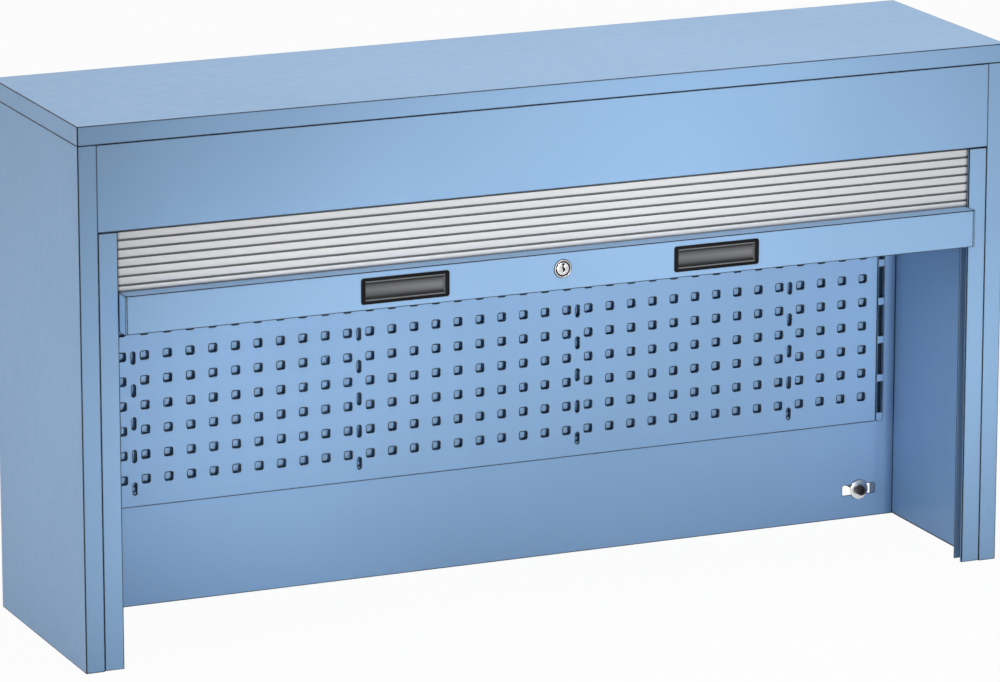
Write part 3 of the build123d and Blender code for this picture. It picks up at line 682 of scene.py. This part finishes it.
def fixings():
    low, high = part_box("fixing_washers")
    washer_radius = (high.z - low.z) / 2
    head_front = low.y - SCREW_HEAD_HEIGHT
    screw_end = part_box("fixing_screws")[1].y
    half_corner = math.pi / SOCKET_CORNERS
    socket_radius = SCREW_SOCKET / 2 / math.cos(half_corner)
    washers, screws = [], []
    for centre_x in (low.x + washer_radius, high.x - washer_radius):
        centre = (centre_x, (low.z + high.z) / 2)
        rim = ring_points(centre, washer_radius, FINE_CIRCLE)
        hole = ring_points(centre, WASHER_HOLE / 2, CIRCLE)
        washers.append(plate([rim, hole], low.y, high.y - low.y, WASHER_EDGE))
        socket = ring_points(centre, socket_radius, SOCKET_CORNERS, start=half_corner)
        outlines = [knurled_circle(centre), socket]
        screws.append(plate(outlines, head_front, SCREW_HEAD_HEIGHT, SCREW_HEAD_EDGE, steps=2))
        floor = ring_points(centre, SCREW_HEAD / 2 - SOCKET_FLOOR_STEP, COARSE_CIRCLE)
        screws.append(plate([floor], head_front + SCREW_HEAD_HEIGHT / 2, SOCKET_FLOOR, edge=0))
        shank = [
            (THREAD_RADIUS, low.y - SHANK_OVERLAP),
            (THREAD_RADIUS, screw_end - THREAD_TIP),
            (THREAD_TIP_RADIUS, screw_end),
        ]
        screws.append(turned(shank, centre, COARSE_CIRCLE))
    piece("turned_washers", joined(washers), "zinc_steel", "case", ["fixing_washers"])
    piece("socket_screws", joined(screws), "black_steel", "case", ["fixing_screws"])


fixings()


# ---------------- camera, floor and light
CAMERA_PLACE = (-3.71334, -8.47706, 2.76124)
CAMERA_YAW = math.radians(23.568)
CAMERA_DIP = math.radians(14.310)
CAMERA_LENS = 217.69
SENSOR = 36.0
NEAREST_SEEN = 0.1
FARTHEST_SEEN = 200.0
FLOOR_REACH = 40.0
FLOOR_WHITE = 0.96
AMBIENT_COLOUR = (0.93, 0.96, 1.0, 1.0)
AMBIENT_STRENGTH = 0.22
WHITE = (1.0, 1.0, 1.0, 1.0)

lens = bpy.data.cameras.new("camera")
lens.lens = CAMERA_LENS
lens.sensor_width = SENSOR
lens.clip_start = NEAREST_SEEN
lens.clip_end = FARTHEST_SEEN
camera = bpy.data.objects.new("camera", lens)
camera.location = CAMERA_PLACE
camera.rotation_euler = (math.pi / 2 - CAMERA_DIP, 0, -CAMERA_YAW)
scene.collection.objects.link(camera)
scene.camera = camera


def pale_floor():
    """A pale floor that a camera, a mirror or glass sees as nearly white, and that keeps the shadow."""
    mesh = bpy.data.meshes.new("floor")
    corners = [(x * FLOOR_REACH, y * FLOOR_REACH, 0) for x, y in ((-1, -1), (1, -1), (1, 1), (-1, 1))]
    mesh.from_pydata(corners, [], [(0, 1, 2, 3)])
    floor = bpy.data.objects.new("floor", mesh)
    floor.location.z = cad_low.z
    scene.collection.objects.link(floor)
    shader = Shader("floor", Base_Color=(0.86, 0.87, 0.88, 1.0), Roughness=0.9, Specular_IOR_Level=0.1)
    glow = shader.add("ShaderNodeEmission", Color=WHITE, Strength=1.0)
    path = shader.add("ShaderNodeLightPath").outputs
    seen = shader.larger(path["Is Camera Ray"], path["Is Glossy Ray"])
    seen = shader.larger(seen, path["Is Transmission Ray"])
    share = shader.add("ShaderNodeMath", {"operation": "MULTIPLY"})
    shader.put(share.inputs[0], seen)
    shader.put(share.inputs[1], FLOOR_WHITE)
    mix = shader.add("ShaderNodeMixShader")
    shader.put(mix.inputs[0], share.outputs[0])
    shader.put(mix.inputs[1], shader.surface.outputs["BSDF"])
    shader.put(mix.inputs[2], glow.outputs["Emission"])
    shader.put(shader.tree.nodes["Material Output"].inputs["Surface"], mix.outputs["Shader"])
    mesh.materials.append(shader.material)


def studio_world():
    """Soft even light from all round, seen as white by the camera, by mirrors and through glass."""
    world = bpy.data.worlds.new("studio")
    world.use_nodes = True
    nodes, links = world.node_tree.nodes, world.node_tree.links
    light = nodes["Background"]
    light.inputs["Color"].default_value = AMBIENT_COLOUR
    light.inputs["Strength"].default_value = AMBIENT_STRENGTH
    white = nodes.new("ShaderNodeBackground")
    white.inputs["Color"].default_value = WHITE
    white.inputs["Strength"].default_value = 1.0
    path = nodes.new("ShaderNodeLightPath")
    seen = path.outputs["Is Camera Ray"]
    for kind in ("Is Glossy Ray", "Is Transmission Ray"):
        either = nodes.new("ShaderNodeMath")
        either.operation = "MAXIMUM"
        links.new(seen, either.inputs[0])
        links.new(path.outputs[kind], either.inputs[1])
        seen = either.outputs[0]
    mix = nodes.new("ShaderNodeMixShader")
    links.new(seen, mix.inputs[0])
    links.new(light.outputs[0], mix.inputs[1])
    links.new(white.outputs[0], mix.inputs[2])
    links.new(mix.outputs[0], nodes["World Output"].inputs["Surface"])
    scene.world = world


def soft_box(name, place, target, size, power, spread):
    """A square or oblong lamp that aims at a target, with its light kept within a cone of spread degrees."""
    data = bpy.data.lights.new(name, "AREA")
    data.shape = "RECTANGLE"
    data.size, data.size_y = size
    data.energy = power
    data.spread = math.radians(spread)
    box = bpy.data.objects.new(name, data)
    box.location = place
    aim = Vector(target) - Vector(place)
    box.rotation_euler = aim.to_track_quat("-Z", "Y").to_euler()
    box.visible_camera = False
    scene.collection.objects.link(box)


pale_floor()
studio_world()
soft_box("front_light", (0.2, -6.5, 0.8), (0.2, 0.0, 0.6), (0.4, 0.4), power=3.5, spread=20)
soft_box("panel_light", (-0.5, -5.0, 0.2), (-0.5, 0.0, 0.3), (0.3, 0.3), power=0.55, spread=13)
soft_box("right_light", (0.77, -5.0, 0.3), (0.77, 0.0, 0.35), (0.2, 0.2), power=0.12, spread=9)
soft_box("left_light", (-3.2, -0.6, 0.75), (-0.7, 0.0, 0.45), (1.2, 1.2), power=2.1, spread=34)
soft_box("top_light", (0.3, -0.2, 3.2), (0.0, 0.0, 0.8), (2.0, 1.6), power=47, spread=180)
